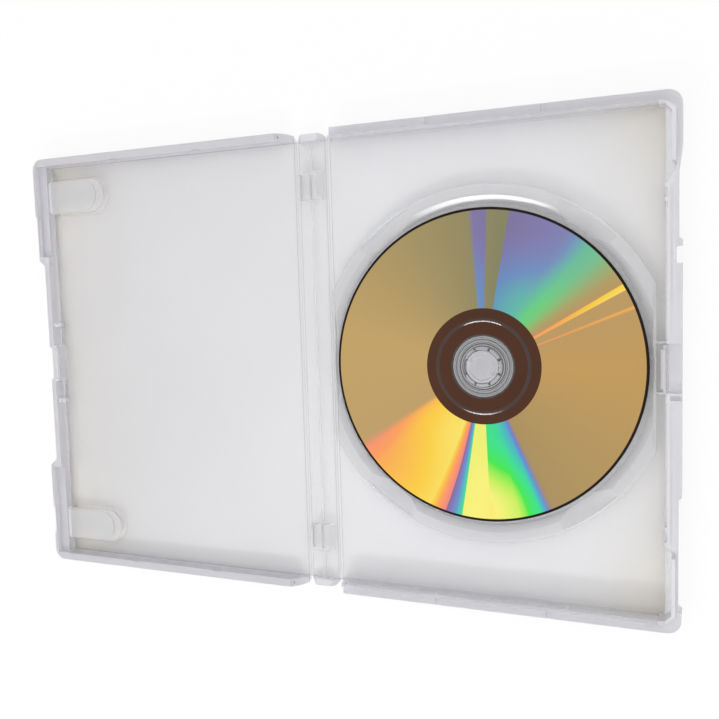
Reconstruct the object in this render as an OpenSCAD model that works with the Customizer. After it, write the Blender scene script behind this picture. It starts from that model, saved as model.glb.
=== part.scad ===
// Disc keep case, lying open on its outer faces with the insides up.
// The origin is at the middle of the spine, on the surface that the case lies on.
// X runs to the opening edge of the back cover, Y along the spine and Z up out of the covers.

/* [Case] */
// Height of the case along its spine
case_h = 190; // [180:1:200]
// Width of the spine, which is the thickness of the closed case
spine_w = 14; // [13:0.5:18]
// Thickness of the moulded panels and walls
wall_t = 1.1; // [0.9:0.05:1.3]
// Radius of the covers' corners at the opening edge
corner_r = 5; // [3.5:0.5:5.5]
// Width of the rim along the top and bottom edges
rim_w = 3.3; // [3:0.1:4]
// Gap between the two rims when the case is closed
seam_gap = 0.2; // [0.1:0.05:0.4]

/* [Hinges] */
// Thickness of the living hinges
web_t = 0.4; // [0.3:0.05:0.6]
// Distance that each living hinge reaches to either side of its fold
web_reach = 1.1; // [0.9:0.05:1.4]
// Clearance of each mitred end from the plane in which two ends meet
mitre_gap = 0.15; // [0.1:0.05:0.3]
// Height of the end walls of the spine
spine_end_h = 3.4; // [2.5:0.1:4]
// Distance that the ends of the spine lie back from those of the covers
spine_set = 1; // [0.5:0.1:1.5]
// Length of the rounding at the covers' corners beside the hinges
hinge_round_l = 5; // [3:0.5:6]
// Depth of that rounding
hinge_round_d = 1.4; // [0.8:0.1:1.6]

/* [Back cover rim] */
// Height of the tongue above the ledge
tongue_h = 2; // [1:0.1:3]
// Clearance between the tongue and the rim of the front cover
tongue_gap = 0.3; // [0.2:0.05:0.5]
// Width of the rim along the middle of the opening edge
edge_rim_w = 4.9; // [4.5:0.1:5.5]
// Half length of that wider rim
edge_rim_half = 64.5; // [60:0.5:66]
// Width of the wall near the corners of the opening edge
edge_wall_w = 1.9; // [1.5:0.1:2.2]
// Distance of the nearer snaps from the hinge line
snap_near = 44.5; // [35:0.5:55]
// Distance of the farther snaps from the hinge line
snap_far = 88; // [75:0.5:100]
// Width of a snap
snap_w = 2; // [1.5:0.1:3]
// Distance that a snap stands out of the tongue
snap_proud = 0.35; // [0.2:0.05:0.45]

/* [Disc] */
// Diameter of the disc
disc_d = 120; // [119.7:0.1:120.3]
// Thickness of the disc
disc_t = 1.2; // [1.1:0.1:1.5]
// Diameter of the hole in the disc
disc_hole_d = 15; // [14.9:0.05:15.1]
// Distance from the hinge line to the edge of the disc
hinge_gap = 3.8; // [3.7:0.1:5]
// Distance from the edge of the disc to the opening edge of the case
edge_gap = 10.7; // [9.5:0.1:14]
// Radius of the stacking ring on the data side
stack_r = 17.8; // [16.8:0.1:18]

/* [Well and hub] */
// Height of the seat that carries the disc
seat_z = 3.8; // [3.4:0.1:4.4]
// Radius of the seat
seat_r = 16; // [14:0.5:16.3]
// Clearance round the disc inside the well
well_gap = 1.6; // [1:0.1:2]
// Width of the raised ring round the well
ring_w = 7.3; // [6.5:0.1:7.4]
// Height of the crest at the outside of the ring
crest_z = 4.4; // [4:0.1:5]
// Width of the steep slope beside the disc
bevel_w = 2.9; // [2:0.1:4]
// Height of the top of that slope
bevel_z = 3.95; // [3.6:0.05:4]
// Height of its foot
bevel_foot_z = 2.2; // [2:0.1:2.6]
// Radius of the curved floor of a finger scoop
scoop_r = 31; // [25:1:40]
// Angle between a finger scoop and the long axis of the case
scoop_angle = 36; // [30:1:45]
// Number of petals that hold the disc
petals = 8; // [6:1:10]
// Distance from the hub's centre to the straight side of its head
hub_flat = 6.2; // [5.6:0.1:6.6]
// Clearance between the petals and the hole of the disc
petal_gap = 0.2; // [0.15:0.05:0.3]
// Distance that the petals' beads reach over the edge of the hole
bead_reach = 0.25; // [0.15:0.05:0.35]
// Travel of the release button
button_travel = 1.2; // [0.8:0.1:1.3]

/* [Front cover] */
// Width of the rim at the end blocks of the opening edge
block_w = 6.2; // [6:0.1:7]
// Half length of the thumb recess in the opening edge
thumb_half = 46; // [40:1:55]
// Depth of the thumb recess
thumb_d = 3.7; // [3:0.1:4]
// Half width of the notch for the latch
notch_half = 7.4; // [6:0.1:9]
// Distance of each booklet clip from the middle of the case
clip_y = 77.4; // [70:0.5:79]
// Length of a booklet clip
clip_l = 31; // [25:0.5:35]
// Width of a booklet clip
clip_w = 15; // [13:0.2:17]
// Height of the slot under a booklet clip
clip_slot = 1.5; // [1:0.1:2]

/* [Insert and sleeve] */
// Distance of the insert from the top and bottom edges of the case
insert_end_gap = 3.3; // [3.2:0.1:6]
// Distance of the insert from the opening edges of the case
insert_side_gap = 5.7; // [5:0.1:10]
// Thickness of the paper insert
insert_t = 0.2; // [0.15:0.01:0.25]
// Thickness of the clear film of the sleeve
film_t = 0.12; // [0.1:0.01:0.2]
// Distance of the film's edges from the edges of the covers
film_inset = 0.6; // [0.4:0.1:1]

/* [Hidden] */
$fn = 96;

half_h = case_h / 2;
fold_x = spine_w / 2;
disc_u = hinge_gap + disc_d / 2;
cover_w = disc_u + disc_d / 2 + edge_gap;
insert_half_h = half_h - insert_end_gap;
insert_u = cover_w - insert_side_gap;
over = 1;
lay_gap = 0.02;
fold_gap = 0.05;
pocket_gap = 0.5;
slant_wall = 1.3 * wall_t;

// Layers from the surface up: film, paper, moulded panel
insert_z = film_t + lay_gap;
pocket_z = insert_z + insert_t + lay_gap;
floor_z = pocket_z + wall_t;
rim_z = (spine_w - seam_gap) / 2;
tongue_top = rim_z + tongue_h;
rim_in = half_h - rim_w;
tongue_out = rim_in - tongue_gap;
tongue_in = tongue_out - slant_wall;
pocket_half = insert_half_h + pocket_gap;
pocket_u = insert_u + pocket_gap;
end_u = spine_end_h + mitre_gap;
snap_u = [snap_near, snap_far];
snap_room = 0.3;
mark_d = 0.4;

// Opening edge of the back cover
edge_in = cover_w - edge_rim_w;
edge_wall_in = cover_w - edge_wall_w;
edge_step_top = 5.5;
edge_step_low = 1.5;
edge_recess_d = 1.2;
edge_recesses = [[-87.4, -86.6, -46.5, -45.5], [44.5, 45.5, 68, 77]];
tongue_turn = 3;
edge_notch = [36.5, 42.5];
edge_notch_d = 2.1;
post_r = 0.9;
post_ys = [-62.5, -57.3, 58.4, 63.2];

// Latch in the middle of the opening edge
block_in = cover_w - block_w;
latch_room = 0.5;
latch_half = notch_half - latch_room;
latch_rise = 3.5;
latch_z = rim_z + latch_rise;
latch_lip_w = 0.3;
latch_lip_h = 0.6;
hook_drop = 0.9;
hook_z = latch_z - hook_drop;
hook_reach = 0.7;
latch_slot_w = 1.7;
latch_slot_d = 2;
frame_half = 8.6;
frame_t = 0.9;
frame_gap = 0.3;
latch_shelf_z = 4.2;
catch_set = 1.1;
catch_wall_out = block_in - catch_set;
catch_r = 0.8;
catch_z = spine_w - hook_z + hook_drop + catch_r;

// Well and hub
well_r = disc_d / 2 + well_gap;
ring_draft = 0.2;
ring_r = well_r + ring_w;
fold_room = 0.14;
flat_r = disc_u - floor_z - fold_room;
scoop_lip = 1.2;
scoop_out = ring_r - scoop_lip;
scoop_in = well_r - 2 * scoop_lip;
scoop_lift = 0.3;
scoop_floor = floor_z + scoop_lift;
seat_round = 0.3;
seat_draft = 0.6;
seat_in = disc_hole_d / 2 + wall_t;

disc_edge = 0.15;
ring_mark_r = 11;
ring_mark_w = 0.4;
ring_mark_d = 0.12;
stack_h = 0.2;
stack_top_w = 0.8;
stack_foot_w = 1.4;

disc_top = seat_z + disc_t;
hole_r = disc_hole_d / 2;
petal_r = hole_r - petal_gap;
petal_t = 1.5;
petal_slot_w = 0.9;
petal_rise = 1.4;
petal_top = disc_top + petal_rise;
petal_slope = 0.8;
petal_slot_in = 1;
petal_wall = 0.75;
bead_r = hole_r + bead_reach;
bead_start = 0.1;
bead_low = 0.45;
bead_high = 0.7;
button_gap = 0.25;
cap_room_r = petal_r - petal_wall;
button_r = cap_room_r - button_gap;
button_sink = 0.2;
button_top = petal_top - button_sink;
button_cap_t = 1;
button_round = 0.25;
button_dish_r = 5;
button_dish_d = 0.3;
button_stem_r = 2.4;
button_play = 0.15;
cap_room_z = button_top - button_cap_t - button_travel - button_play;
button_foot = floor_z + button_travel + button_play;

// Booklet clips
clip_z = floor_z + clip_slot;
clip_t = 0.9;
clip_pad_t = 1.4;
clip_pad_in = 0.8;
clip_pad_back = 3.2;
clip_window = 0.9;
clip_root = 2.6;

// Opening edge of the front cover
front_recess_d = 0.8;
front_recesses = [[-82, -81, -70, -69], [40, 41, 68, 69.5]];
thumb_ramp = 3;
end_block_z = spine_w - tongue_top - tongue_gap;
gusset_y = 18;
gusset_w = 2;
gusset_l = 2.6;
gusset_step = 1;
gusset_drop = 3;

// Spine
spine_clip_y = [67.5, 78.7];
spine_clip_x = [-4.7, 5.1];
spine_clip_h = 2.6;
spine_slot_x1 = -3.6;
spine_slot_x2 = 0.5;
spine_slot_w = 1;
spine_clip_slope = 2;
spine_clip_lip = 0.8;
spine_round = 1.8;
spine_rib_w = 0.8;
spine_rib_h = 0.5;

// A plate in a cover's own plane, u from the hinge line, with round corners at its far end
module plate2d(u0, u1, half, r) {
    translate([u0, -half]) square([u1 - r - u0, 2 * half]);
    translate([u0, r - half]) square([u1 - u0, 2 * (half - r)]);
    for (s = [-1, 1]) translate([u1 - r, s * (half - r)]) circle(r);
}

// A box given by its lowest and highest corners
module block(low, high) {
    translate(low) cube(high - low);
}

// The same shape at the top and at the bottom of the case
module both_ends() {
    for (s = [0, 1]) mirror([0, s, 0]) children();
}

// Puts a cover's own frame at its hinge line: 1 for the back cover, -1 for the front one
module at_fold(side) {
    translate([side * fold_x, 0, 0]) mirror([side < 0 ? 1 : 0, 0, 0]) children();
}

// A wall that runs along Y with the section given in u and z
module along_y(length) {
    rotate([90, 0, 0]) linear_extrude(length, center = true) children();
}

// Space that a cover's hinge end leaves free, so that it folds by a right angle
module hinge_relief(turn_z) {
    high = 2 * spine_w;
    along_y(case_h + 2 * over) polygon([
        [-over, -over], [web_reach, -over], [web_reach, web_reach - mitre_gap],
        [turn_z + mitre_gap, turn_z], [turn_z + mitre_gap, high], [-over, high]]);
}

// Shallow pocket in the outer face that takes the paper insert, open at the top edge
module insert_pocket(u1) {
    block([-over, -pocket_half, -over], [u1, half_h + over, pocket_z]);
}

// What the rounding takes from the two corners of a cover beside its hinge line
module hinge_corners2d(inset) {
    r = (pow(hinge_round_l, 2) + pow(hinge_round_d, 2)) / (2 * hinge_round_d);
    both_ends() difference() {
        translate([-over, half_h - 2 * hinge_round_d])
            square([hinge_round_l + over, 2 * hinge_round_d + over]);
        translate([hinge_round_l, half_h - r]) circle(r - inset);
    }
}

// Outline of a cover, u0 from the hinge line
module cover_outline(u0, inset) {
    difference() {
        plate2d(u0, cover_w - inset, half_h - inset, corner_r - inset);
        hinge_corners2d(inset);
    }
}

// Relieved lengths of an opening edge, each from its start over its full depth to its end
module edge_cuts2d(recesses, depth, inset) {
    edge = cover_w - inset;
    far = cover_w + over;
    for (r = recesses) polygon([
        [far, r[0] - inset], [edge, r[0] - inset], [edge - depth, r[1] - inset],
        [edge - depth, r[2] + inset], [edge, r[3] + inset], [far, r[3] + inset]]);
}

// Outline of the back cover, with the relieved lengths of its opening edge
module back_outline(u0, inset) {
    difference() {
        cover_outline(u0, inset);
        edge_cuts2d(edge_recesses, edge_recess_d, inset);
        translate([cover_w - inset - edge_notch_d, edge_notch[0] - inset])
            square([2 * corner_r, edge_notch[1] - edge_notch[0] + 2 * inset]);
    }
}

// Outline of the spine, with round corners
module spine_outline(half_w, inset) {
    half = half_h - spine_set - inset;
    r = spine_round;
    square([2 * half_w, 2 * (half - r)], center = true);
    square([2 * (half_w - r), 2 * half], center = true);
    for (x = [-1, 1], y = [-1, 1]) translate([x * (half_w - r), y * (half - r)]) circle(r);
}

// Channels in the underside that keep the rim's walls even
module rim_channels(y0, u1) {
    both_ends() block([end_u + 2 * wall_t, y0, -over],
                      [u1, half_h - wall_t, rim_z - wall_t]);
}

// Inside of the back cover's rim, wider near the corners of the opening edge
module back_inside2d() {
    translate([-over, -tongue_in]) square([edge_in + over, 2 * tongue_in]);
    for (step = [edge_step_top, -edge_step_low]) {
        y = sign(step) * edge_rim_half;
        end = sign(step) * tongue_in;
        turn = sign(step) * tongue_turn;
        polygon([[0, y], [edge_in, y], [edge_wall_in, y + step], [edge_wall_in, end - turn],
                 [edge_wall_in - tongue_turn, end], [0, end]]);
    }
}

// Rim of the back cover: the ledge that the front cover's rim meets
module back_rim() {
    slot_y = frame_half + frame_t;
    difference() {
        translate([0, 0, film_t]) linear_extrude(rim_z - film_t) difference() {
            back_outline(0, 0);
            difference() {
                back_inside2d();
                translate([edge_in, -frame_half]) square([edge_rim_w, 2 * frame_half]);
            }
            translate([edge_in - over, -frame_half])
                square([over + latch_room, 2 * frame_half]);
        }
        rim_channels(tongue_out, cover_w - corner_r - wall_t);
        both_ends() block(
            [edge_in + wall_t, slot_y + latch_slot_w + wall_t, -over],
            [cover_w - edge_notch_d - wall_t, edge_rim_half - wall_t, rim_z - wall_t]);
        block([edge_in - over, -frame_half, latch_shelf_z],
              [cover_w + over, frame_half, rim_z + over]);
        block([edge_in + wall_t, -slot_y - latch_slot_w, rim_z - latch_slot_d],
              [cover_w + over, -slot_y, rim_z + over]);
        snap_marks();
    }
    for (y = post_ys) translate([edge_in, y, film_t]) cylinder(h = rim_z - film_t, r = post_r);
    both_ends() block([disc_u + flat_r - wall_t, frame_half, pocket_z],
                      [edge_in + wall_t, slot_y, crest_z]);
}

// Shallow notches that cross the ledge at the snaps
module snap_marks() {
    both_ends() for (u = snap_u)
        block([u - snap_w / 2, tongue_out, rim_z - mark_d],
              [u + snap_w / 2, half_h + over, rim_z + over]);
}

// Upstanding tongue inside the ledge, which turns the corner and ends at y1
module tongue2d(y1) {
    t = tongue_out - tongue_in;
    turn = tongue_turn + t * tan(22.5);
    polygon([
        [end_u, tongue_in], [end_u, tongue_out], [edge_wall_in - tongue_turn, tongue_out],
        [edge_wall_in, tongue_out - tongue_turn], [edge_wall_in, y1], [edge_wall_in - t, y1],
        [edge_wall_in - t, tongue_out - turn], [edge_wall_in - turn, tongue_in]]);
}

// Both tongues, with the snaps on their outer faces
module tongues() {
    for (step = [edge_step_top, -edge_step_low]) mirror([0, step < 0 ? 1 : 0, 0]) {
        translate([0, 0, pocket_z]) linear_extrude(tongue_top - pocket_z)
            tongue2d(edge_rim_half + abs(step) + wall_t);
        for (u = snap_u) translate([u, tongue_out, rim_z + tongue_h / 2])
            rotate([0, 90, 0]) cylinder(h = snap_w, r = snap_proud, center = true);
    }
}

// Raised ring round the well, cut flat at both sides, with upright side walls
module well_ring() {
    reach = sqrt(pow(ring_r, 2) - pow(flat_r, 2));
    intersection() {
        rotate_extrude() polygon([
            [well_r, pocket_z], [well_r, bevel_foot_z], [well_r + bevel_w, bevel_z],
            [ring_r - ring_draft, crest_z], [ring_r, pocket_z]]);
        block([-flat_r, -ring_r, 0], [flat_r, ring_r, crest_z + over]);
    }
    difference() {
        for (s = [0, 1]) mirror([s, 0, 0])
            block([flat_r - wall_t, -reach, pocket_z], [flat_r, reach, crest_z]);
        cylinder(h = crest_z + over, r = well_r);
    }
}

// Hollow in the underside of the ring, which keeps its walls even
module ring_hollow() {
    rise = wall_t * (bevel_z - bevel_foot_z) / bevel_w;
    difference() {
        intersection() {
            rotate_extrude() polygon([
                [well_r + wall_t, -over], [well_r + wall_t, bevel_foot_z + rise - slant_wall],
                [well_r + bevel_w, bevel_z - slant_wall],
                [ring_r - ring_draft - wall_t, crest_z - slant_wall],
                [ring_r - wall_t, -over]]);
            block([wall_t - flat_r, -ring_r, -over], [flat_r - wall_t, ring_r, crest_z]);
        }
        finger_scoops(wall_t);
    }
}

// Curved recesses for the fingertips, cut into the slope beside the disc
module finger_scoops(grow) {
    for (a = [0, 180], s = [-1, 1]) rotate([0, 0, 90 + a + s * scoop_angle])
        intersection() {
            translate([scoop_in, 0, scoop_floor + scoop_r]) rotate([0, 90, 0])
                cylinder(h = ring_r, r = scoop_r + grow);
            translate([0, 0, -over]) cylinder(h = crest_z + 2 * over, r = scoop_out + grow);
        }
}

// Raised seat that carries the clear middle of the disc
module hub_seat() {
    rotate_extrude() polygon([
        [seat_in, pocket_z], [seat_r + seat_draft, pocket_z], [seat_r, seat_z - seat_round],
        [seat_r - seat_round, seat_z], [seat_in, seat_z]]);
}

// Hollow in the underside of the seat
module seat_hollow() {
    rotate_extrude() polygon([
        [seat_in + wall_t, -over], [seat_in + wall_t, seat_z - wall_t],
        [seat_r - wall_t, seat_z - wall_t], [seat_r - wall_t, -over]]);
}

// Ring of sprung petals whose beads hold the disc by the edge of its hole
module hub_petals() {
    petal_in = petal_r - petal_t;
    difference() {
        rotate_extrude() polygon([
            [petal_in, pocket_z], [petal_r, pocket_z], [petal_r, disc_top + bead_start],
            [bead_r, disc_top + bead_low], [bead_r, disc_top + bead_high],
            [bead_r - petal_slope, petal_top],
            [cap_room_r, petal_top], [cap_room_r, cap_room_z], [petal_in, cap_room_z]]);
        for (i = [0:petals - 1]) rotate([0, 0, (i + 0.5) * 360 / petals])
            block([petal_slot_in, -petal_slot_w / 2, floor_z + button_play],
                  [bead_r + over, petal_slot_w / 2, petal_top + over]);
        block([-bead_r - over, -bead_r, cap_room_z], [-hub_flat, bead_r, petal_top + over]);
    }
}

// Sprung latch blade in the middle of the opening edge, with its hook towards the hinge
module latch_blade() {
    blade_out = block_in + wall_t;
    along_y(2 * latch_half) polygon([
        [block_in, pocket_z], [block_in, hook_z - hook_reach],
        [block_in - hook_reach, hook_z], [block_in, latch_z],
        [blade_out - latch_lip_w, latch_z], [blade_out, latch_z - latch_lip_h],
        [blade_out, pocket_z]]);
    block([block_in, frame_gap - frame_half, pocket_z],
          [blade_out, frame_half - frame_gap, rim_z - frame_gap]);
}

module back_cover() color([0.86, 0.86, 0.88, 0.6]) at_fold(1) {
    difference() {
        union() {
            difference() {
                union() {
                    translate([0, 0, film_t]) linear_extrude(floor_z - film_t)
                        back_outline(0, 0);
                    back_rim();
                    tongues();
                }
                hinge_relief(spine_end_h);
            }
            translate([disc_u, 0, 0]) {
                well_ring();
                hub_seat();
            }
            latch_blade();
        }
        insert_pocket(pocket_u);
        translate([disc_u, 0, 0]) {
            ring_hollow();
            finger_scoops(0);
            seat_hollow();
        }
    }
    translate([disc_u, 0, 0]) hub_petals();
}

// Cap in the middle of the petals that lets the disc go when it is pressed
module hub_button() color([0.84, 0.84, 0.86, 0.7]) translate([fold_x + disc_u, 0, 0])
    difference() {
        cap_z = button_top - button_cap_t;
        rotate_extrude() polygon([
            [0, button_foot], [button_stem_r, button_foot], [button_stem_r, cap_z],
            [button_r, cap_z], [button_r, button_top - button_round],
            [button_r - button_round, button_top], [button_dish_r + button_round, button_top],
            [button_dish_r, button_top - button_dish_d], [0, button_top - button_dish_d]]);
        block([-2 * button_r, -button_r, button_foot - over],
              [button_gap - hub_flat, button_r, button_top + over]);
    }

// Disc lying with its data side up
module disc() color([0.78, 0.64, 0.38]) translate([fold_x + disc_u, 0, seat_z])
    rotate_extrude() polygon([
        [hole_r, disc_edge], [hole_r + disc_edge, 0], [disc_d / 2 - disc_edge, 0],
        [disc_d / 2, disc_edge], [disc_d / 2, disc_t - disc_edge],
        [disc_d / 2 - disc_edge, disc_t],
        [stack_r + stack_foot_w / 2, disc_t], [stack_r + stack_top_w / 2, disc_t + stack_h],
        [stack_r - stack_top_w / 2, disc_t + stack_h], [stack_r - stack_foot_w / 2, disc_t],
        [ring_mark_r + ring_mark_w, disc_t], [ring_mark_r, disc_t - ring_mark_d],
        [ring_mark_r - ring_mark_w, disc_t],
        [hole_r + disc_edge, disc_t], [hole_r, disc_t - disc_edge]]);

// One small moulded clip on the inside of the spine
module spine_clip() {
    y0 = spine_clip_y[0];
    y1 = spine_clip_y[1];
    top = floor_z + spine_clip_h;
    difference() {
        translate([0, (y0 + y1) / 2, 0]) along_y(y1 - y0) polygon([
            [spine_clip_x[0], pocket_z], [spine_clip_x[0], top],
            [spine_clip_x[1] - spine_clip_slope, top],
            [spine_clip_x[1], floor_z + spine_clip_lip], [spine_clip_x[1], pocket_z]]);
        for (x = [spine_slot_x1, spine_slot_x2]) block([x - spine_slot_w / 2, y0 - over, floor_z],
                                    [x + spine_slot_w / 2, y1 - wall_t, top + over]);
    }
}

module spine() color([0.86, 0.86, 0.88, 0.6]) {
    low = fold_x - web_reach;
    low_z = web_reach - mitre_gap;
    mitre_u = fold_x - mitre_gap;
    end_y = half_h - spine_set - rim_w;
    difference() {
        intersection() {
            union() {
                along_y(case_h) polygon([
                    [-low, film_t], [low, film_t], [low, low_z],
                    [mitre_u - floor_z, floor_z], [floor_z - mitre_u, floor_z], [-low, low_z]]);
                both_ends() translate([0, half_h - rim_w / 2, 0])
                    along_y(rim_w + 2 * spine_set) polygon([
                        [-low, low_z], [low, low_z], [mitre_u - spine_end_h, spine_end_h],
                        [spine_end_h - mitre_u, spine_end_h]]);
            }
            linear_extrude(spine_w) spine_outline(low, 0);
        }
        block([-fold_x, -pocket_half, -over], [fold_x, half_h + over, pocket_z]);
    }
    both_ends() {
        spine_clip();
        block([-spine_rib_w / 2, spine_clip_y[1], floor_z],
              [spine_rib_w / 2, end_y + over, floor_z + spine_rib_h]);
    }
    block([-spine_rib_w / 2, wall_t - spine_clip_y[0], floor_z],
          [spine_rib_w / 2, spine_clip_y[0] - wall_t, floor_z + spine_rib_h]);
}

// A living hinge: the thin strip that the moulding bends along
module web(side) color([0.9, 0.9, 0.92, 0.5]) at_fold(side)
    block([-web_reach, -rim_in, pocket_z], [web_reach, rim_in, pocket_z + web_t]);

module hinge_web_back() web(1);
module hinge_web_front() web(-1);

// Outline of a booklet clip, u from the wall that it grows from
module clip2d(grow) {
    r = clip_w / 2 + grow;
    translate([block_in - clip_l + clip_w / 2, clip_y]) {
        circle(r);
        translate([0, -r]) square([clip_l - clip_w / 2, 2 * r]);
    }
}

// Clip that holds a booklet, with a raised pad and a root at the wall
module booklet_clip() {
    translate([0, 0, clip_z]) {
        linear_extrude(clip_t) clip2d(0);
        linear_extrude(clip_pad_t) intersection() {
            clip2d(0);
            translate([clip_pad_back, 0]) clip2d(-clip_pad_in);
        }
    }
    block([block_in - clip_root, clip_y - clip_w / 2, pocket_z],
          [block_in, clip_y + clip_w / 2, clip_z + clip_t]);
}

// Windows in the panel under the booklet clips
module clip_windows() {
    both_ends() translate([0, 0, -over]) linear_extrude(floor_z + 2 * over) intersection() {
        clip2d(clip_window);
        square([block_in - clip_root, half_h]);
    }
}

// Rim of the front cover, set back along its opening edge for the thumbs and for the latch
module front_rim() {
    thumb_u = cover_w - thumb_d;
    ramp_end = thumb_half + thumb_ramp;
    translate([0, 0, film_t]) linear_extrude(rim_z - film_t) difference() {
        cover_outline(0, 0);
        translate([-over, -rim_in]) square([block_in + over, 2 * rim_in]);
        polygon([[cover_w + over, -ramp_end], [cover_w, -ramp_end], [thumb_u, -thumb_half],
                 [thumb_u, thumb_half], [cover_w, ramp_end], [cover_w + over, ramp_end]]);
        edge_cuts2d(front_recesses, front_recess_d, 0);
        translate([catch_wall_out, -notch_half]) square([block_w, 2 * notch_half]);
    }
}

// Inset wall behind the latch notch, with the catch that the hook snaps past
module front_catch() {
    wall_in = catch_wall_out - wall_t;
    block([wall_in, -notch_half - wall_t, film_t],
          [catch_wall_out, notch_half + wall_t, rim_z]);
    both_ends() block([wall_in, notch_half, film_t],
                      [block_in + wall_t, notch_half + wall_t, rim_z]);
    translate([catch_wall_out, 0, catch_z]) along_y(2 * latch_half) circle(catch_r);
}

// Small gussets on the inside of the opening edge's wall
module front_gussets() {
    foot = block_in - gusset_l;
    both_ends() translate([0, gusset_y, 0]) along_y(gusset_w) polygon([
        [block_in + over, pocket_z], [foot, pocket_z], [foot, rim_z - gusset_drop],
        [foot + gusset_step, rim_z - gusset_step], [block_in + over, rim_z - gusset_step]]);
}

// Room in the front rim for the back cover's tongues and their snaps
module tongue_room() {
    both_ends() {
        for (u = snap_u)
            block([u - snap_w, rim_in - over, end_block_z],
                  [u + snap_w, tongue_out + snap_proud + snap_room, rim_z + over]);
        block([block_in - over, thumb_half + thumb_ramp + wall_t, end_block_z],
              [edge_wall_in + tongue_gap, rim_in, rim_z + over]);
    }
}

module front_cover() color([0.86, 0.86, 0.88, 0.6]) at_fold(-1) {
    difference() {
        union() {
            translate([0, 0, film_t]) linear_extrude(floor_z - film_t)
                cover_outline(0, 0);
            front_rim();
            front_catch();
            front_gussets();
        }
        hinge_relief(rim_z);
        insert_pocket(pocket_u);
        rim_channels(rim_in + wall_t, cover_w - corner_r - wall_t);
        both_ends() block(
            [block_in + wall_t, thumb_half + thumb_ramp + wall_t, -over],
            [cover_w - front_recess_d - wall_t, rim_in, end_block_z - wall_t]);
        tongue_room();
        clip_windows();
    }
    both_ends() booklet_clip();
}

// The paper insert, folded at both hinge lines
module cover_insert(side) color("white") at_fold(side)
    block([film_t + fold_gap, -insert_half_h, insert_z],
          [insert_u, insert_half_h, insert_z + insert_t]);

module insert_back() cover_insert(1);
module insert_front() cover_insert(-1);

module insert_spine() color("white") {
    w = fold_x - insert_z - insert_t - fold_gap;
    block([-w, -insert_half_h, insert_z], [w, insert_half_h, insert_z + insert_t]);
}

// The clear film that is welded round the outside and holds the insert
module sleeve_back() color([0.9, 0.93, 0.96, 0.3]) at_fold(1)
    linear_extrude(film_t) back_outline(fold_gap, film_inset);

module sleeve_front() color([0.9, 0.93, 0.96, 0.3]) at_fold(-1)
    linear_extrude(film_t) cover_outline(fold_gap, film_inset);

module sleeve_spine() color([0.9, 0.93, 0.96, 0.3])
    linear_extrude(film_t) spine_outline(fold_x - film_t - fold_gap, film_inset);

back_cover();
hub_button();
disc();
spine();
front_cover();
hinge_web_back();
hinge_web_front();
insert_back();
insert_spine();
insert_front();
sleeve_back();
sleeve_spine();
sleeve_front();
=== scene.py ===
import math

import bpy
from mathutils import Matrix, Vector


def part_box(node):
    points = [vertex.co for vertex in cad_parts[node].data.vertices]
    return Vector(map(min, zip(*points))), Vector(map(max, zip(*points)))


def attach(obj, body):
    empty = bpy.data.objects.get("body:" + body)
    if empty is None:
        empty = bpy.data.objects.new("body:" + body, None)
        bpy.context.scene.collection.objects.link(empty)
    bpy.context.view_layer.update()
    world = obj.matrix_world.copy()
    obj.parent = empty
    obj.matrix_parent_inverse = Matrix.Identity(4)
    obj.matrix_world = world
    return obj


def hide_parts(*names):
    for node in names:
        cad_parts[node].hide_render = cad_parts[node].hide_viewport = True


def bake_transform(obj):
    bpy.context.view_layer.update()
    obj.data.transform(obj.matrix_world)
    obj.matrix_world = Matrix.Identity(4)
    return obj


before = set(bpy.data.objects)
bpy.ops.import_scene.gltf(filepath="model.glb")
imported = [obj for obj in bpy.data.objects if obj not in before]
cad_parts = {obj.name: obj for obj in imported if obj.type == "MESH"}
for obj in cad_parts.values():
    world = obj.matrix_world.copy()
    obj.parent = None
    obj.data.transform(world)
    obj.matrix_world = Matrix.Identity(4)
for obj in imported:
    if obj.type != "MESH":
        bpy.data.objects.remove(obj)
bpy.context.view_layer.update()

MM = 0.001

# The camera that shows the open case as the photograph does
camera = bpy.data.objects.new("camera", bpy.data.cameras.new("camera"))
camera.data.lens = 41.585
camera.data.sensor_width = 36
camera.data.clip_start = 0.01
camera.location = Vector((148.84, 31.09, 312.95)) * MM
camera.rotation_euler = (-0.0980, 0.3932, -0.0325)
bpy.context.scene.collection.objects.link(camera)
bpy.context.scene.camera = camera


def srgb(red, green, blue):
    """A colour as it is seen, from 0 to 255, in Blender's linear values"""
    parts = (c / 255 for c in (red, green, blue))
    return tuple(c / 12.92 if c <= 0.04 else ((c + 0.055) / 1.055) ** 2.4 for c in parts)


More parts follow.
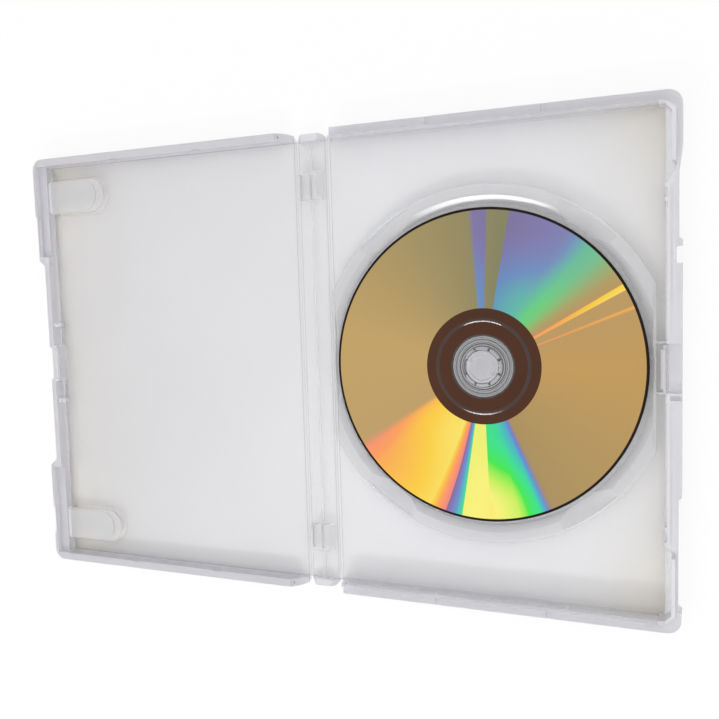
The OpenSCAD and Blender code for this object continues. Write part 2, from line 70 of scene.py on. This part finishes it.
class Looks:
    """A procedural material, built node by node on the standard shader"""

    def __init__(self, name, **values):
        self.material = bpy.data.materials.new(name)
        self.material.use_nodes = True
        self.tree = self.material.node_tree
        self.shader = self.tree.nodes["Principled BSDF"]
        for key, value in values.items():
            self.shader.inputs[key.replace("_", " ")].default_value = value

    def add(self, kind, values=None, **settings):
        node = self.tree.nodes.new(kind)
        for key, value in settings.items():
            setattr(node, key, value)
        for key, value in (values or {}).items():
            if isinstance(value, bpy.types.NodeSocket):
                self.tree.links.new(value, node.inputs[key])
            else:
                node.inputs[key].default_value = value
        return node

    def link(self, output, name):
        self.tree.links.new(output, self.shader.inputs[name])

    def place(self):
        return self.add("ShaderNodeTexCoord").outputs["Object"]

    def maths(self, operation, *values, clamp=False):
        node = self.add("ShaderNodeMath", dict(enumerate(values)), operation=operation, use_clamp=clamp)
        return node.outputs[0]

    def noise(self, scale, detail=2.0, rough=0.5):
        node = self.add("ShaderNodeTexNoise", {"Vector": self.place(), "Scale": scale,
                                               "Detail": detail, "Roughness": rough})
        return node.outputs["Fac"]

    def noise_along(self, value, scale, detail=2.0):
        """Noise that changes along one value only, as a ray or a ring does"""
        node = self.add("ShaderNodeTexNoise", {"W": self.maths("MULTIPLY", value, scale),
                                               "Detail": detail}, noise_dimensions="1D")
        return node.outputs["Fac"]

    def span(self, value, low, high, to_low=0.0, to_high=1.0, smooth=False):
        """The value carried from one range to another, held at its ends"""
        node = self.add("ShaderNodeMapRange", {"Value": value, "From Min": low, "From Max": high,
                                               "To Min": to_low, "To Max": to_high})
        if smooth:
            node.interpolation_type = "SMOOTHSTEP"
        return node.outputs["Result"]

    def ramp(self, value, stops):
        node = self.add("ShaderNodeValToRGB", {"Fac": value})
        elements = node.color_ramp.elements
        while len(elements) < len(stops):
            elements.new(0.5)
        for element, (at, colour) in zip(elements, stops):
            element.position = at
            element.color = (*colour, 1)
        return node.outputs["Color"]

    def mix(self, share, first, second):
        node = self.add("ShaderNodeMix", {"Factor": share}, data_type="RGBA")
        for name, value in (("A", first), ("B", second)):
            socket = next(s for s in node.inputs if s.name == name and s.type == "RGBA")
            if isinstance(value, bpy.types.NodeSocket):
                self.tree.links.new(value, socket)
            else:
                socket.default_value = (*value, 1)
        return next(s for s in node.outputs if s.type == "RGBA")

    def bump(self, height, distance, strength=1.0, normal=None):
        values = {"Height": height, "Distance": distance, "Strength": strength}
        if normal is not None:
            values["Normal"] = normal
        return self.add("ShaderNodeBump", values).outputs["Normal"]

    def soft_edges(self, radius):
        return self.add("ShaderNodeBevel", {"Radius": radius}, samples=4).outputs["Normal"]

    def polar(self, centre):
        """Distance from a centre in mm, and angle round it in degrees from 0 to 360"""
        flat = self.add("ShaderNodeVectorMath", {0: self.place(), 1: (*centre, 0)},
                        operation="SUBTRACT").outputs[0]
        x, y, _ = self.add("ShaderNodeSeparateXYZ", {"Vector": flat}).outputs
        squares = self.maths("ADD", self.maths("MULTIPLY", x, x), self.maths("MULTIPLY", y, y))
        radius = self.maths("DIVIDE", self.maths("SQRT", squares), MM)
        angle = self.maths("DEGREES", self.maths("ARCTAN2", y, x))
        return radius, self.maths("MODULO", self.maths("ADD", angle, 360), 360)


# Where the case turns from clear to milky, in mm: the height over the panels, the distance from
# the middle to the walls and to the strip along the opening edge, and the radius of the hub
RAISED_Z = (1.5, 1.7)
WALL_X = (138.5, 139.5)
WALL_Y = (91.0, 91.5)
STRIP_X = (133.2, 134.0)
HUB_R = (7.4, 7.7)


def case_looks(hub):
    """Translucent polypropylene: clear in the thin panels, milky in the walls and the hub"""
    looks = Looks("case_plastic", IOR=1.49, Specular_IOR_Level=0.8)
    x, y, z = looks.add("ShaderNodeSeparateXYZ", {"Vector": looks.place()}).outputs
    along, across = looks.maths("ABSOLUTE", x), looks.maths("ABSOLUTE", y)
    raised, wall_x, wall_y, strip_x = (
        looks.span(value, start * MM, end * MM)
        for value, (start, end) in ((z, RAISED_Z), (along, WALL_X), (across, WALL_Y), (along, STRIP_X)))
    outer = looks.maths("MAXIMUM", wall_y, wall_x)
    strip = looks.maths("MULTIPLY", raised, strip_x)
    petals = looks.span(looks.polar(hub)[0], *HUB_R, 0.85, 0)
    milky = looks.maths("MAXIMUM", looks.maths("MAXIMUM", outer, strip), petals)
    looks.link(looks.maths("MAXIMUM", milky, looks.span(raised, 0, 1, 0.3, 0.55)), "Alpha")
    looks.link(looks.span(milky, 0, 1, 0.4, 0.5), "Transmission Weight")
    tone = looks.noise(12, 3)
    thin = looks.ramp(tone, [(0.3, (0.80, 0.80, 0.82)), (0.7, (0.84, 0.84, 0.86))])
    thick = looks.ramp(tone, [(0.3, (0.85, 0.84, 0.88)), (0.7, (0.88, 0.87, 0.91))])
    looks.link(looks.mix(milky, thin, thick), "Base Color")
    marks = looks.noise(60, 3)
    looks.link(looks.maths("ADD", looks.span(marks, 0.4, 0.7, 0.12, 0.15),
                           looks.maths("MULTIPLY", milky, 0.18)), "Roughness")
    looks.link(looks.soft_edges(0.25 * MM), "Normal")
    return looks


def paper_looks():
    """Plain uncoated paper, a little yellowed towards its edges, with painted shade that makes it
    darker towards the left
    """
    looks = Looks("paper", Roughness=0.85)
    x, y, _ = looks.add("ShaderNodeSeparateXYZ", {"Vector": looks.place()}).outputs
    sides = looks.maths("POWER", looks.span(looks.maths("ABSOLUTE", x), 0.07, 0.138), 3)
    ends = looks.maths("POWER", looks.span(looks.maths("ABSOLUTE", y), 0, 0.092), 4)
    age = looks.maths("MULTIPLY", looks.maths("MULTIPLY", sides, ends), looks.noise(14, 3))
    age = looks.maths("ADD", age, looks.maths("MULTIPLY", sides, 0.2))
    # Painted shade: the paper grows darker towards the left, with a little random cloud on top
    painted_shade_and_cloud = looks.maths("ADD", looks.span(x, -0.12, 0.03, 0.0, 0.8),
                         looks.maths("MULTIPLY", looks.noise(6, 3), 0.2))
    white = looks.ramp(painted_shade_and_cloud, [(0.1, srgb(232, 230, 230)), (0.9, srgb(253, 253, 255))])
    looks.link(looks.mix(looks.span(age, 0, 0.6), white, srgb(243, 235, 216)), "Base Color")
    looks.link(looks.bump(looks.noise(1800, 4, 0.7), 0.05 * MM, 0.15), "Normal")
    return looks


def film_looks():
    """Clear film with slight waves, and a weld line along its edges"""
    looks = Looks("film", Roughness=0.06, IOR=1.45, Alpha=0.2)
    tint = looks.ramp(looks.noise(30, 2), [(0.3, (0.80, 0.83, 0.86)), (0.7, (0.86, 0.89, 0.92))])
    looks.link(tint, "Base Color")
    x, y, _ = looks.add("ShaderNodeSeparateXYZ", {"Vector": looks.place()}).outputs
    lines = [looks.maths("ABSOLUTE", looks.maths("SUBTRACT", looks.maths("ABSOLUTE", v), at))
             for v, at in ((x, 0.1385), (y, 0.0922))]
    weld = looks.span(looks.maths("MINIMUM", *lines), 0, 0.4 * MM, 1, 0, smooth=True)
    waves = looks.bump(looks.noise(22, 2), 1.2 * MM, 0.25)
    looks.link(looks.bump(weld, 0.15 * MM, 1.0, waves), "Normal")
    return looks


# Painted reflections: wedges of rainbow colour that the fine grating of the data side throws back
# from the lamps, painted in place: start and end in degrees, the colour at both along the outer edge
# and then near the middle as places on the rainbow, the degrees over which the start and the end fade,
# and the strength
PAINTED_WEDGES = [
    (20.6, 22.4, 0.86, 0.88, 0.90, 0.92, 0.6, 0.6, 0.75),
    (27.6, 30.6, 0.76, 0.80, 0.88, 0.92, 0.8, 0.6, 0.95),
    (31.0, 48.0, 0.46, 0.39, 0.50, 0.47, 15.0, 0.0, 0.66),
    (48.0, 57.0, 0.39, 0.16, 0.47, 0.38, 0.0, 0.0, 0.70),
    (57.0, 79.3, 0.16, 0.06, 0.38, 0.27, 0.0, 0.0, 0.74),
    (87.0, 95.0, 0.06, 0.10, 0.22, 0.26, 1.4, 2.2, 0.75),
    (210.5, 222.0, 1.00, 0.88, 0.88, 0.80, 5.0, 0.0, 0.95),
    (222.0, 248.0, 0.88, 0.77, 0.80, 0.75, 0.0, 0.0, 0.95),
    (248.0, 254.5, 0.77, 1.04, 0.77, 1.04, 0.0, 0.0, 0.95),
    (254.5, 261.0, 0.00, 0.46, 0.00, 0.46, 0.0, 0.0, 0.90),
    (261.0, 272.0, 0.71, 0.73, 0.70, 0.70, 0.0, 0.0, 0.95),
    (272.0, 283.0, 0.74, 0.66, 0.48, 0.42, 0.0, 0.0, 0.95),
    (283.0, 291.0, 0.66, 0.46, 0.42, 0.28, 0.0, 0.0, 0.95),
    (291.0, 296.5, 0.46, 0.02, 0.28, 0.02, 0.0, 3.5, 0.95),
]
# The rainbow from 0, violet, to 1, red
RAINBOW = [
    (0.00, srgb(122, 98, 152)),
    (0.12, srgb(118, 114, 190)),
    (0.24, srgb(84, 142, 214)),
    (0.36, srgb(44, 196, 188)),
    (0.46, srgb(26, 228, 140)),
    (0.56, srgb(44, 236, 64)),
    (0.64, srgb(190, 244, 84)),
    (0.72, srgb(254, 246, 122)),
    (0.80, srgb(255, 208, 52)),
    (0.90, srgb(255, 160, 84)),
    (1.00, srgb(250, 134, 122)),
]
# The gold between the wedges by the share of a full turn, with painted reflection: warm at both sides,
# dull at the top
GOLD_WITH_PAINTED_SHEEN = [
    (0.00, srgb(195, 154, 85)),
    (0.08, srgb(187, 152, 93)),
    (0.22, srgb(131, 129, 91)),
    (0.46, srgb(195, 161, 97)),
    (0.58, srgb(191, 158, 98)),
    (0.80, srgb(166, 141, 89)),
    (1.00, srgb(195, 154, 85)),
]
# The rings of the data area and of the dark band, in mm
DATA_R = (22.2, 59.0)
BAND_R = (12.4, DATA_R[0])


def data_looks(centre):
    """Gold reflective layer under clear plastic; the wedges of colour of its fine grating are painted
    reflections, and the gold is painted duller or warmer by angle as reflected light
    """
    looks = Looks("disc_data", Metallic=0.62, Roughness=0.3, Coat_Weight=0.5, Coat_Roughness=0.04)
    radius, angle = looks.polar(centre)
    inward = looks.span(radius, DATA_R[1], DATA_R[0])
    gained = looks.span(inward, 0.1, 0.95, smooth=True)
    # Painted reflection: the gold is duller or warmer by its angle round the disc
    gold = looks.ramp(looks.maths("DIVIDE", angle, 360), GOLD_WITH_PAINTED_SHEEN)
    beside = looks.maths("ABSOLUTE", looks.maths("SUBTRACT", angle, 251))
    lean = looks.maths("MULTIPLY", inward, looks.span(beside, 5, 11, 3.5, 0))
    angle = looks.maths("SUBTRACT", angle, lean)
    rays = looks.noise_along(angle, 0.35, 3.0)
    angle = looks.maths("ADD", angle, looks.span(rays, 0.3, 0.7, -0.25, 0.25))
    colour_at = strength = 0.0
    # Painted reflections: each wedge of rainbow colour is laid into the base colour
    for start, end, *hues, fade_in, fade_out, weight in PAINTED_WEDGES:
        inside = looks.maths("MULTIPLY", looks.maths("GREATER_THAN", angle, start),
                             looks.maths("LESS_THAN", angle, end))
        outer, inner = (looks.span(angle, start, end, *pair) for pair in (hues[:2], hues[2:]))
        hue = looks.maths("MULTIPLY_ADD", gained, looks.maths("SUBTRACT", inner, outer), outer)
        share = looks.maths("MULTIPLY", inside, weight)
        if fade_in:
            rise = looks.span(angle, start, start + fade_in, smooth=True)
            share = looks.maths("MULTIPLY", share, rise)
        if fade_out:
            fall = looks.span(angle, end - fade_out, end, 1, 0, smooth=True)
            share = looks.maths("MULTIPLY", share, fall)
        colour_at = looks.maths("ADD", colour_at, looks.maths("MULTIPLY", inside, hue))
        strength = looks.maths("ADD", strength, share)
    looks.link(looks.mix(strength, gold, looks.ramp(colour_at, RAINBOW)), "Base Color")
    rings = looks.noise_along(radius, 3.0, 4.0)
    looks.link(looks.span(rings, 0.3, 0.7, 0.29, 0.31), "Roughness")
    return looks


def band_looks():
    """Mirror band between the data and the clear middle, with its dark reflection of the surroundings
    painted into its colour
    """
    looks = Looks("disc_band", Roughness=0.12, Specular_IOR_Level=0.2)
    # Painted reflection: the dark brown stands for the dark surroundings that the mirror band reflects
    looks.link(looks.ramp(looks.noise(60, 3), [(0.3, srgb(72, 40, 22)), (0.7, srgb(78, 44, 26))]),
               "Base Color")
    return looks


def bead_looks():
    """The raised clear ring in the dark band, brighter where it mirrors the lamp"""
    looks = Looks("disc_bead", Roughness=0.3, Specular_IOR_Level=0.1, Coat_Weight=1.0,
                  Coat_Roughness=0.12)
    # Painted reflection: the dark base stands for the dark surroundings mirrored, as on the band
    looks.link(looks.ramp(looks.noise(200, 3), [(0.3, srgb(50, 26, 18)), (0.7, srgb(58, 32, 22))]),
               "Base Color")
    return looks


def clear_looks(centre):
    """Clear polycarbonate with fine turned rings, their highlights and shade painted in light and dark,
    and painted shade along its outer edge
    """
    looks = Looks("disc_clear", Roughness=0.05, IOR=1.58)
    radius, _ = looks.polar(centre)
    uneven = looks.noise_along(radius, 0.8)
    turns = looks.maths("MULTIPLY_ADD", radius, 8.0, looks.maths("MULTIPLY", uneven, 9.0))
    rings = looks.span(looks.maths("SINE", turns), -1, 1)
    # Painted highlights and shade: the turned rings are painted light and dark
    tone = looks.ramp(rings, [(0.1, srgb(92, 90, 90)), (0.6, srgb(126, 125, 126)),
                              (0.95, srgb(236, 236, 240))])
    # Painted shade: darker along the outer edge of the clear middle
    edge = looks.span(radius, BAND_R[0] - 0.9, BAND_R[0] - 0.2)
    looks.link(looks.mix(edge, tone, srgb(66, 56, 52)), "Base Color")
    looks.link(looks.span(looks.maths("MAXIMUM", rings, edge), 0.5, 1, 0.5, 0.75), "Alpha")
    return looks


def rim_looks():
    """The clear outer edge of the disc, with its shade painted in as a dark colour"""
    looks = Looks("disc_rim", Roughness=0.2, Specular_IOR_Level=0.15)
    # Painted shade: near black all round the rim
    looks.link(looks.ramp(looks.noise(40, 2), [(0.3, srgb(20, 10, 8)), (0.7, srgb(34, 18, 14))]),
               "Base Color")
    return looks


def print_looks():
    """Plain satin print on the label side"""
    looks = Looks("disc_print", Roughness=0.45, Coat_Weight=0.2)
    looks.link(looks.ramp(looks.noise(30, 4), [(0.3, srgb(196, 198, 202)), (0.7, srgb(206, 208, 211))]),
               "Base Color")
    return looks


disc_low, disc_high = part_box("disc")
DISC_CENTRE = ((disc_low.x + disc_high.x) / 2, (disc_low.y + disc_high.y) / 2)

case = case_looks(DISC_CENTRE)
paper = paper_looks()
film = film_looks()
disc_looks = [data_looks(DISC_CENTRE), band_looks(), bead_looks(), clear_looks(DISC_CENTRE),
              rim_looks(), print_looks()]

for name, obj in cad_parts.items():
    look = case
    if name.startswith("insert"):
        look = paper
    if name.startswith("sleeve"):
        look = film
    obj.data.materials.clear()
    obj.data.materials.append(look.material)


def new_piece(name, verts, faces, looks, slots=None, sharp=None):
    """A mesh object with its materials, smooth up to the given angle"""
    mesh = bpy.data.meshes.new(name)
    mesh.from_pydata(verts, [], faces)
    mesh.update()
    for index, polygon in enumerate(mesh.polygons):
        polygon.use_smooth = sharp is not None
        if slots:
            polygon.material_index = slots[index]
    if sharp is not None:
        mesh.set_sharp_from_angle(angle=math.radians(sharp))
    obj = bpy.data.objects.new(name, mesh)
    bpy.context.scene.collection.objects.link(obj)
    for look in looks:
        mesh.materials.append(look.material)
    return obj


def turned(name, profile, centre, looks, steps=240):
    """A turned piece from (radius, height, material) points in mm, each for the band after it"""
    count = len(profile)
    verts, faces, slots = [], [], []
    for i in range(steps):
        turn = 2 * math.pi * i / steps
        for radius, z, _ in profile:
            verts.append((centre[0] + radius * MM * math.cos(turn),
                          centre[1] + radius * MM * math.sin(turn), z * MM))
        here, there = i * count, (i + 1) % steps * count
        for k in range(count):
            after = (k + 1) % count
            faces.append((here + k, there + k, there + after, here + after))
            slots.append(profile[k][2])
    return new_piece(name, verts, faces, looks, slots, sharp=15)


# The disc's sizes in mm
DISC_R = 60
HOLE_R = 7.5
CHAMFER = 0.15
FOOT = disc_low.z / MM
TOP = FOOT + 1.2
# The raised ring on which discs are stacked
STACK_R = 17.8
STACK_H = 0.2
GROOVES = (11.4, 10.4, 9.6, 8.7)
DATA, BAND, BEAD, CLEAR, RIM, LABEL = range(6)


def bead():
    """Points over the raised ring, from outside to inside"""
    return [(STACK_R + 0.72, TOP, BEAD), (STACK_R + 0.22, TOP + STACK_H, BEAD),
            (STACK_R - 0.30, TOP + STACK_H, BEAD), (STACK_R - 0.70, TOP, BAND)]


def groove(radius, width=0.16, depth=0.08):
    """Points over a fine turned groove in the clear middle"""
    return [(radius + width, TOP, CLEAR), (radius + width / 3, TOP - depth, CLEAR),
            (radius - width / 3, TOP - depth, CLEAR), (radius - width, TOP, CLEAR)]


disc_profile = [
    (HOLE_R, FOOT + CHAMFER, CLEAR), (HOLE_R + CHAMFER, FOOT, CLEAR), (BAND_R[0], FOOT, LABEL),
    (DISC_R - CHAMFER, FOOT, RIM), (DISC_R, FOOT + CHAMFER, RIM), (DISC_R, TOP - CHAMFER, RIM),
    (DISC_R - CHAMFER / 3, TOP - CHAMFER / 3, RIM), (DISC_R - CHAMFER, TOP, RIM),
    (DATA_R[1], TOP, DATA), (BAND_R[1], TOP, BAND), *bead(), (BAND_R[0], TOP, CLEAR)]
for groove_r in GROOVES:
    disc_profile += groove(groove_r)
disc_profile += [(HOLE_R + CHAMFER, TOP, CLEAR), (HOLE_R, TOP - CHAMFER, CLEAR)]

disc = turned("disc_body", disc_profile, DISC_CENTRE, disc_looks)
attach(disc, "back_cover")
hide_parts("disc")


def hinge_strip(name, node):
    """The thin strip of a living hinge, cut finely across into even segments"""
    low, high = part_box(node)
    cuts = 16
    verts, faces = [], []
    for i in range(cuts + 1):
        x = low.x + (high.x - low.x) * i / cuts
        verts += [(x, y, z) for y in (low.y, high.y) for z in (low.z, high.z)]
    for a in range(0, cuts * 4, 4):
        b = a + 4
        faces += [(a, b, b + 2, a + 2), (a + 1, a + 3, b + 3, b + 1),
                  (a, a + 1, b + 1, b), (a + 2, b + 2, b + 3, a + 3)]
    end = cuts * 4
    faces += [(0, 2, 3, 1), (end, end + 1, end + 3, end + 2)]
    strip = new_piece(name, verts, faces, [case], sharp=40)
    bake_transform(strip)
    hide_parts(node)


hinge_strip("hinge_strip_back", "hinge_web_back")
hinge_strip("hinge_strip_front", "hinge_web_front")

# The white floor keeps a faint shadow. Seen directly or through the plastic it is near white.
SEEN_WHITE = 0.85
THROUGH_WHITE = 0.85
bpy.ops.mesh.primitive_plane_add(size=6, location=(0, 0, -0.3 * MM))
floor = bpy.context.object
floor.name = "floor"
ground = Looks("floor", Roughness=0.9)
ground.link(ground.ramp(ground.noise(3, 2), [(0.0, (0.94, 0.94, 0.94)), (1.0, (0.96, 0.96, 0.96))]),
            "Base Color")
ray = ground.add("ShaderNodeLightPath").outputs
through = ground.maths("MAXIMUM", ray["Is Transmission Ray"], ray["Is Glossy Ray"])
whiteness = ground.maths("ADD", ground.maths("MULTIPLY", ray["Is Camera Ray"], SEEN_WHITE),
                         ground.maths("MULTIPLY", through, THROUGH_WHITE), clamp=True)
white = ground.add("ShaderNodeEmission", {"Color": (1, 1, 1, 1), "Strength": 1.0})
mixed = ground.add("ShaderNodeMixShader",
                   {0: whiteness, 1: ground.shader.outputs[0], 2: white.outputs[0]})
ground.tree.links.new(mixed.outputs[0], ground.tree.nodes["Material Output"].inputs["Surface"])
floor.data.materials.append(ground.material)

world = bpy.data.worlds.new("world")
bpy.context.scene.world = world
world.use_nodes = True
sky = world.node_tree.nodes["Background"].inputs
sky["Color"].default_value = (1, 1, 1, 1)
sky["Strength"].default_value = 0.92

# A long low lamp beyond the lower edge gives the white crescents on the well and the disc.
# Its length runs a little upwards to the right, as the mirrored directions do.
LAMP_PLACE = Vector((-0.196, -0.823, 0.599))
back = LAMP_PLACE.normalized()
side = Vector((0.55, -0.07, 0.13))
side = (side - back * side.dot(back)).normalized()
lamp = bpy.data.objects.new("lamp", bpy.data.lights.new("lamp", "AREA"))
lamp.data.shape = "RECTANGLE"
lamp.data.size = 0.66
lamp.data.size_y = 0.04
lamp.data.energy = 2.6
lamp.location = LAMP_PLACE
lamp.rotation_euler = Matrix((side, back.cross(side), back)).transposed().to_euler()
bpy.context.scene.collection.objects.link(lamp)

bpy.context.scene.view_settings.view_transform = "Standard"
